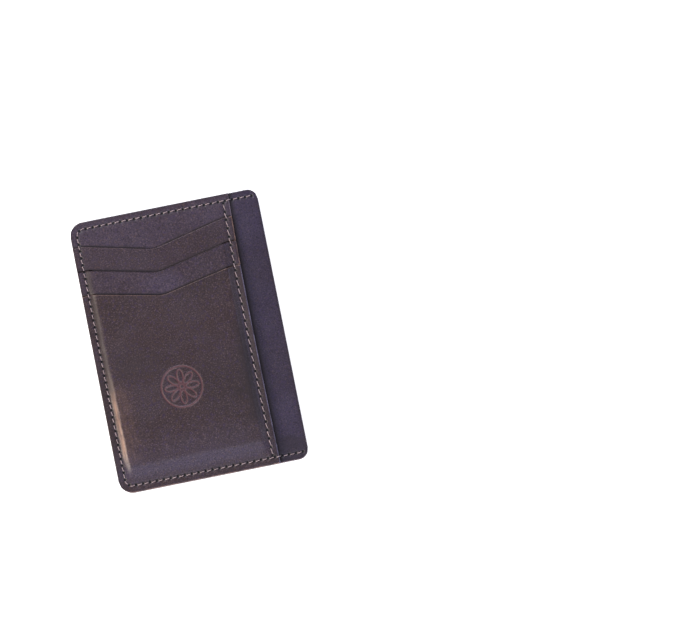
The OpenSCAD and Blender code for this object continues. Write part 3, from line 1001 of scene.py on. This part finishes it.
# %% Wrap shader sockets
class Shade:
    """A value in a material's node tree. Sums of values add Math nodes to the tree."""

    def __init__(self, tree, socket):
        self.tree, self.socket = tree, socket

    def node(self, kind, settings=None, **inputs):
        """Adds a node, sets it, and joins or fills its sockets. A key is a socket's name or number."""
        made = self.tree.nodes.new(kind)
        for key, value in (settings or {}).items():
            setattr(made, key, value)
        for key, value in inputs.items():
            slot = made.inputs[int(key[1:])] if key[0] == "_" else made.inputs[key.replace("_", " ")]
            if isinstance(value, Shade):
                self.tree.links.new(value.socket, slot)
            else:
                slot.default_value = value
        return made

    def sum(self, operation, *values):
        """One Math node of the given operation."""
        inputs = {f"_{i}": v for i, v in enumerate(values)}
        return Shade(self.tree, self.node("ShaderNodeMath", {"operation": operation}, **inputs).outputs[0])

    def __add__(self, other):
        return self.sum("ADD", self, other)

    def __sub__(self, other):
        return self.sum("SUBTRACT", self, other)

    def __rsub__(self, other):
        return self.sum("SUBTRACT", other, self)

    def __mul__(self, other):
        return self.sum("MULTIPLY", self, other)

    __radd__, __rmul__ = __add__, __mul__

    def between(self, low, high):
        """0 at low, 1 at high, and smooth between them."""
        settings = {"interpolation_type": "SMOOTHSTEP"}
        made = self.node("ShaderNodeMapRange", settings, Value=self, From_Min=low, From_Max=high)
        return Shade(self.tree, made.outputs["Result"])

    def mix(self, share, first, second):
        """The first colour where share is 0 and the second where it is 1."""
        made = self.node("ShaderNodeMix", {"data_type": "RGBA"}, _0=share, _6=first, _7=second)
        return Shade(self.tree, made.outputs[2])

    def noise(self, scale, detail=2.0, rough=0.5, along=1.0):
        """Noise over the object's own coordinates, about 0 to 1, drawn out along y where along is small."""
        place = Shade(self.tree, self.node("ShaderNodeTexCoord").outputs["Object"])
        if along != 1.0:
            mapping = self.node("ShaderNodeMapping", None, Vector=place, Scale=(1, along, 1))
            place = Shade(self.tree, mapping.outputs["Vector"])
        settings = {"Scale": scale, "Detail": detail, "Roughness": rough}
        made = self.node("ShaderNodeTexNoise", None, Vector=place, **settings)
        return Shade(self.tree, made.outputs["Fac"])

    def cells(self, scale):
        """Distance to the nearest of scattered points over the object's own coordinates."""
        place = Shade(self.tree, self.node("ShaderNodeTexCoord").outputs["Object"])
        made = self.node("ShaderNodeTexVoronoi", {"feature": "SMOOTH_F1"}, Vector=place, Scale=scale)
        return Shade(self.tree, made.outputs["Distance"])

    def mark(self, name):
        """A mark that is stored on the mesh's points."""
        made = self.node("ShaderNodeAttribute", {"attribute_name": name})
        return Shade(self.tree, made.outputs["Fac"])


def new_material(name):
    """An empty material with its Principled shader, and a Shade to start sums from."""
    made = bpy.data.materials.new(name)
    made.use_nodes = True
    shader = made.node_tree.nodes["Principled BSDF"]
    return made, shader, Shade(made.node_tree, None)


def link(shade, shader, name):
    """Joins a value to one of the shader's sockets."""
    shade.tree.links.new(shade.socket, shader.inputs[name])


def add_bump(height, shader, strength, distance):
    """Tilts the shader's normal by the slope of a height."""
    made = height.node("ShaderNodeBump", None, Height=height, Strength=strength, Distance=distance)
    link(Shade(height.tree, made.outputs["Normal"]), shader, "Normal")


print("masks to start from:", ", ".join(("noise", "cells", "mark")))

# %% [markdown]
# ## Pull-up leather
#
# The leather is dyed almost black-brown with a purple cast and filled with wax. It is uneven in broad
# clouds, has a fine speckled grain, goes dark and smooth along burnished edges and seams, and turns
# pale and warm where it is bent, because the wax moves away, with a painted highlight on the same slope.
# Painted shade darkens corners over the mouths, the strip beside the stack and the holes, and a painted
# cool sheen and painted rim highlights lie on bands and cut edges. Each of those is a mask, and the masks
# drive colour, roughness and the bump of the grain.

# %% Mix the leather
BROWN = (0.0325, 0.0178, 0.0190, 1)
UMBER = (0.0185, 0.0092, 0.0090, 1)
# BLOOM_AND_SHEEN and STRIP_BLOOM_AND_SHEEN are wax bloom with a painted cool sheen.
BLOOM_AND_SHEEN = (0.0460, 0.0325, 0.0550, 1)
STRIP = (0.0190, 0.0125, 0.0255, 1)
STRIP_BLOOM_AND_SHEEN = (0.0320, 0.0235, 0.0490, 1)
SPECK = (0.1300, 0.0900, 0.1000, 1)
PORE = (0.0070, 0.0040, 0.0055, 1)
VIOLET = (0.0360, 0.0190, 0.0720, 1)
OCHRE = (0.0760, 0.0400, 0.0200, 1)
# BURNISH_AND_SHADE darkens burnished edges and seams, and is also the colour of the painted shade in grime.
BURNISH_AND_SHADE = (0.0120, 0.0065, 0.0085, 1)
# WARM_WEAR_HIGHLIGHT is pale worn leather and a painted highlight.
WARM_WEAR_HIGHLIGHT = (0.3600, 0.2150, 0.1500, 1)
# Raw edge colours with painted highlights; the violet is a painted cool rim light.
RAW_TAN_AND_HIGHLIGHT = (0.3400, 0.2000, 0.1500, 1)
VIOLET_RIM_HIGHLIGHT = (0.1900, 0.1700, 0.2500, 1)
PRESSED = (0.1150, 0.0480, 0.0520, 1)
# HOLE_SHADOW is the painted shadow inside a hole.
HOLE_SHADOW = (0.0006, 0.0005, 0.0006, 1)


def leather(name, plain, bloom_sheen_colour, speckled):
    """Material of a leather panel: bases with painted sheen, grain, wear with painted highlight, edges,
    painted shade, marks.
    """
    made, shader, shade = new_material(name)
    clouds = shade.noise(70, 4.0, 0.6).between(0.34, 0.68)
    patches = shade.noise(260, 3.0, 0.6)
    broad = shade.noise(32, 2.0)
    grain = shade.noise(2100, 1.0, 0.6)
    fine = shade.noise(5200, 1.0, 0.6)
    edge, hole, seam_mark, bend_and_highlight, stamp, bloom_and_sheen, raw_and_highlight, grime_and_shade = (shade.mark(mark) for mark in MARKS)
    # Wax bloom and a painted cool sheen lighten and cool the base.
    bloom_sheen_share = bloom_and_sheen * (0.7 + 0.6 * patches) + 0.22 * clouds
    colour = shade.mix(bloom_sheen_share, plain, bloom_sheen_colour)
    colour = shade.mix(broad.between(0.46, 0.72) * 0.7 * (1 - bloom_and_sheen), colour, UMBER)
    colour = shade.mix(shade.noise(950, 1.0).between(0.52, 0.78) * 0.40, colour, VIOLET)
    colour = shade.mix(shade.noise(1150, 1.0).between(0.56, 0.80) * (0.45 * speckled), colour, OCHRE)
    specks = grain.between(0.52, 0.80) * 0.68 + fine.between(0.60, 0.85) * 0.25
    colour = shade.mix(specks * speckled, colour, SPECK)
    colour = shade.mix((1 - grain.between(0.20, 0.48)) * 0.95, colour, PORE)
    # Paler wear and a painted highlight along the spine-side slope, broken into streaks.
    highlight_streaks = shade.noise(1100, 2.0, 0.6, along=0.12).between(0.32, 0.66)
    colour = shade.mix(bend_and_highlight * (0.12 + 0.3 * patches.between(0.25, 0.7) + 0.5 * highlight_streaks), colour, WARM_WEAR_HIGHLIGHT)
    colour = shade.mix(edge.between(0.10, 0.80) * 0.65, colour, BURNISH_AND_SHADE)
    colour = shade.mix(seam_mark * 0.40, colour, BURNISH_AND_SHADE)
    # Painted shade over the mouths, beside the stack and on the upper climb, with darker stains.
    colour = shade.mix(grime_and_shade * 0.88, colour, BURNISH_AND_SHADE)
    colour = shade.mix(stamp * 0.80, colour, PRESSED)
    # Raw cut edges with painted rim and lip highlights.
    raw_and_highlight_share = raw_and_highlight * (1.1 * patches.between(0.30, 0.65) * grain + 0.15)
    colour = shade.mix(raw_and_highlight_share, colour, shade.mix(bloom_and_sheen.between(0.3, 0.9), RAW_TAN_AND_HIGHLIGHT, VIOLET_RIM_HIGHLIGHT))
    # Painted shadow inside the holes.
    colour = shade.mix(hole.between(0.20, 0.60), colour, HOLE_SHADOW)
    link(colour, shader, "Base Color")
    rough = 0.36 + 0.10 * patches + 0.06 * clouds - 0.04 * edge - 0.06 * stamp - 0.10 * (bend_and_highlight * highlight_streaks)
    link(rough + hole * 0.4 + grime_and_shade * 0.08, shader, "Roughness")
    height = shade.cells(1300) * 0.5 + grain * 0.5 + fine * 0.25 + patches * 0.8
    height = height * (1 - 0.6 * edge) * (1 - 0.5 * stamp)
    add_bump(height, shader, 0.40, 0.00014)
    shader.inputs["Specular IOR Level"].default_value = 0.45
    shader.inputs["Coat Weight"].default_value = 0.08
    shader.inputs["Coat Roughness"].default_value = 0.32
    return made


outer_leather = leather("pull_up_leather_outer", BROWN, BLOOM_AND_SHEEN, 1.0)
inner_leather = leather("pull_up_leather_inner", STRIP, STRIP_BLOOM_AND_SHEEN, 0.5)
print("leather is mixed with", len(outer_leather.node_tree.nodes), "nodes")

# %% [markdown]
# ## Waxed thread
#
# The thread is drawn through wax before sewing. The needle thread stayed pale and the bobbin thread
# took up dye, so one function makes both from two pairs of colours. Where a thread dives into its
# hole, painted shadow makes it as dark as the hole, which keeps the stitches apart.

# %% Mix the threads
NEEDLE_DARK, NEEDLE_PALE = (0.18, 0.13, 0.135, 1), (0.74, 0.58, 0.57, 1)
BOBBIN_DARK, BOBBIN_PALE = (0.060, 0.030, 0.024, 1), (0.22, 0.12, 0.095, 1)


def thread_finish(name, dark, pale):
    """Material of a waxed thread: paler fibres over a darker twist, with a fine fibrous bump."""
    made, shader, shade = new_material(name)
    fibres = shade.noise(4200, 3.0, 0.7)
    dirt = shade.noise(260, 2.0)
    colour = shade.mix(fibres.between(0.30, 0.72), dark, pale)
    colour = shade.mix(dirt.between(0.50, 0.80) * 0.5, colour, dark)
    # Painted shadow where the thread dives into its hole.
    colour = shade.mix(shade.mark("hole") * 0.95, colour, HOLE_SHADOW)
    link(colour, shader, "Base Color")
    link(0.62 + 0.2 * fibres, shader, "Roughness")
    add_bump(fibres, shader, 0.5, 0.00008)
    shader.inputs["Sheen Weight"].default_value = 0.25
    return made


needle_thread = thread_finish("waxed_needle_thread", NEEDLE_DARK, NEEDLE_PALE)
bobbin_thread = thread_finish("waxed_bobbin_thread", BOBBIN_DARK, BOBBIN_PALE)
print("thread is mixed with", len(needle_thread.node_tree.nodes), "nodes")

# %% [markdown]
# ## Hand out the finishes
#
# Four materials cover all pieces, so a user can recolour the outer leather, the inner leather or either
# thread at once. Each piece gets one material.

# %% Give each piece its finish
finishes = [
    (outer_leather, "outer_leather", leather_pieces["outer"]),
    (inner_leather, "inner_leather", leather_pieces["inner"]),
    (needle_thread, "needle_thread", threads["needle"]),
    (bobbin_thread, "bobbin_thread", threads["bobbin"]),
]
for material, slot, pieces in finishes:
    for piece in pieces:
        piece.data.materials.append(material)
    print(material.name, "on", len(pieces), "pieces")

# %% [markdown]
# ## Table and light
#
# The wallet lies on a white sweep. A broad cool light stands beyond its top edge, a long weak one
# before its lower edge. A warm one low on the left draws the long highlight along the pocket's left
# shoulder, and a weak cool one on the right picks out the stack's edge. The table glows a little, so
# shadows stay pale.

# %% Set the stage
TABLE_GAP = 0.00002
table = bpy.data.meshes.new("table")
table.from_pydata([(-3, -3, 0), (3, -3, 0), (3, 3, 0), (-3, 3, 0)], [], [(0, 1, 2, 3)])
table_top = added("table", table)
table_top.location.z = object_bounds()[0].z - TABLE_GAP
white, white_shader, _ = new_material("white_table")
white_shader.inputs["Base Color"].default_value = (0.92, 0.92, 0.92, 1)
white_shader.inputs["Roughness"].default_value = 0.9
white_shader.inputs["Emission Color"].default_value = (1, 1, 1, 1)
white_shader.inputs["Emission Strength"].default_value = 0.80
table.materials.append(white)


def softbox(name, place, size, power, colour):
    """A rectangular area light at place that faces the wallet."""
    lamp = bpy.data.lights.new(name, "AREA")
    lamp.shape, lamp.size, lamp.size_y = "RECTANGLE", size[0], size[1]
    lamp.energy, lamp.color = power, colour
    box = added(name, lamp)
    box.location = place
    box.rotation_mode = "QUATERNION"
    box.rotation_quaternion = Vector(place).to_track_quat("Z", "Y")


softbox("overhead_light", (-0.40, 0.80, 0.80), (0.8, 0.5), 10, (0.90, 0.89, 1.0))
softbox("lower_light", (0.05, -0.52, 0.86), (0.9, 0.20), 4, (0.76, 0.78, 1.0))
softbox("warm_side_light", (-0.75, -0.20, 0.44), (0.30, 0.30), 7, (1.0, 0.88, 0.76))
softbox("cool_side_light", (0.8, 0.0, 0.50), (0.6, 0.3), 1.6, (0.74, 0.74, 1.0))
world = bpy.data.worlds.new("studio")
bpy.context.scene.world = world
world.use_nodes = True
world.node_tree.nodes["Background"].inputs["Color"].default_value = (0.95, 0.96, 1.0, 1)
world.node_tree.nodes["Background"].inputs["Strength"].default_value = 0.20
bpy.context.scene.view_settings.view_transform = "Standard"
print("table lies at", round(1000 * table_top.location.z, 2), "mm")
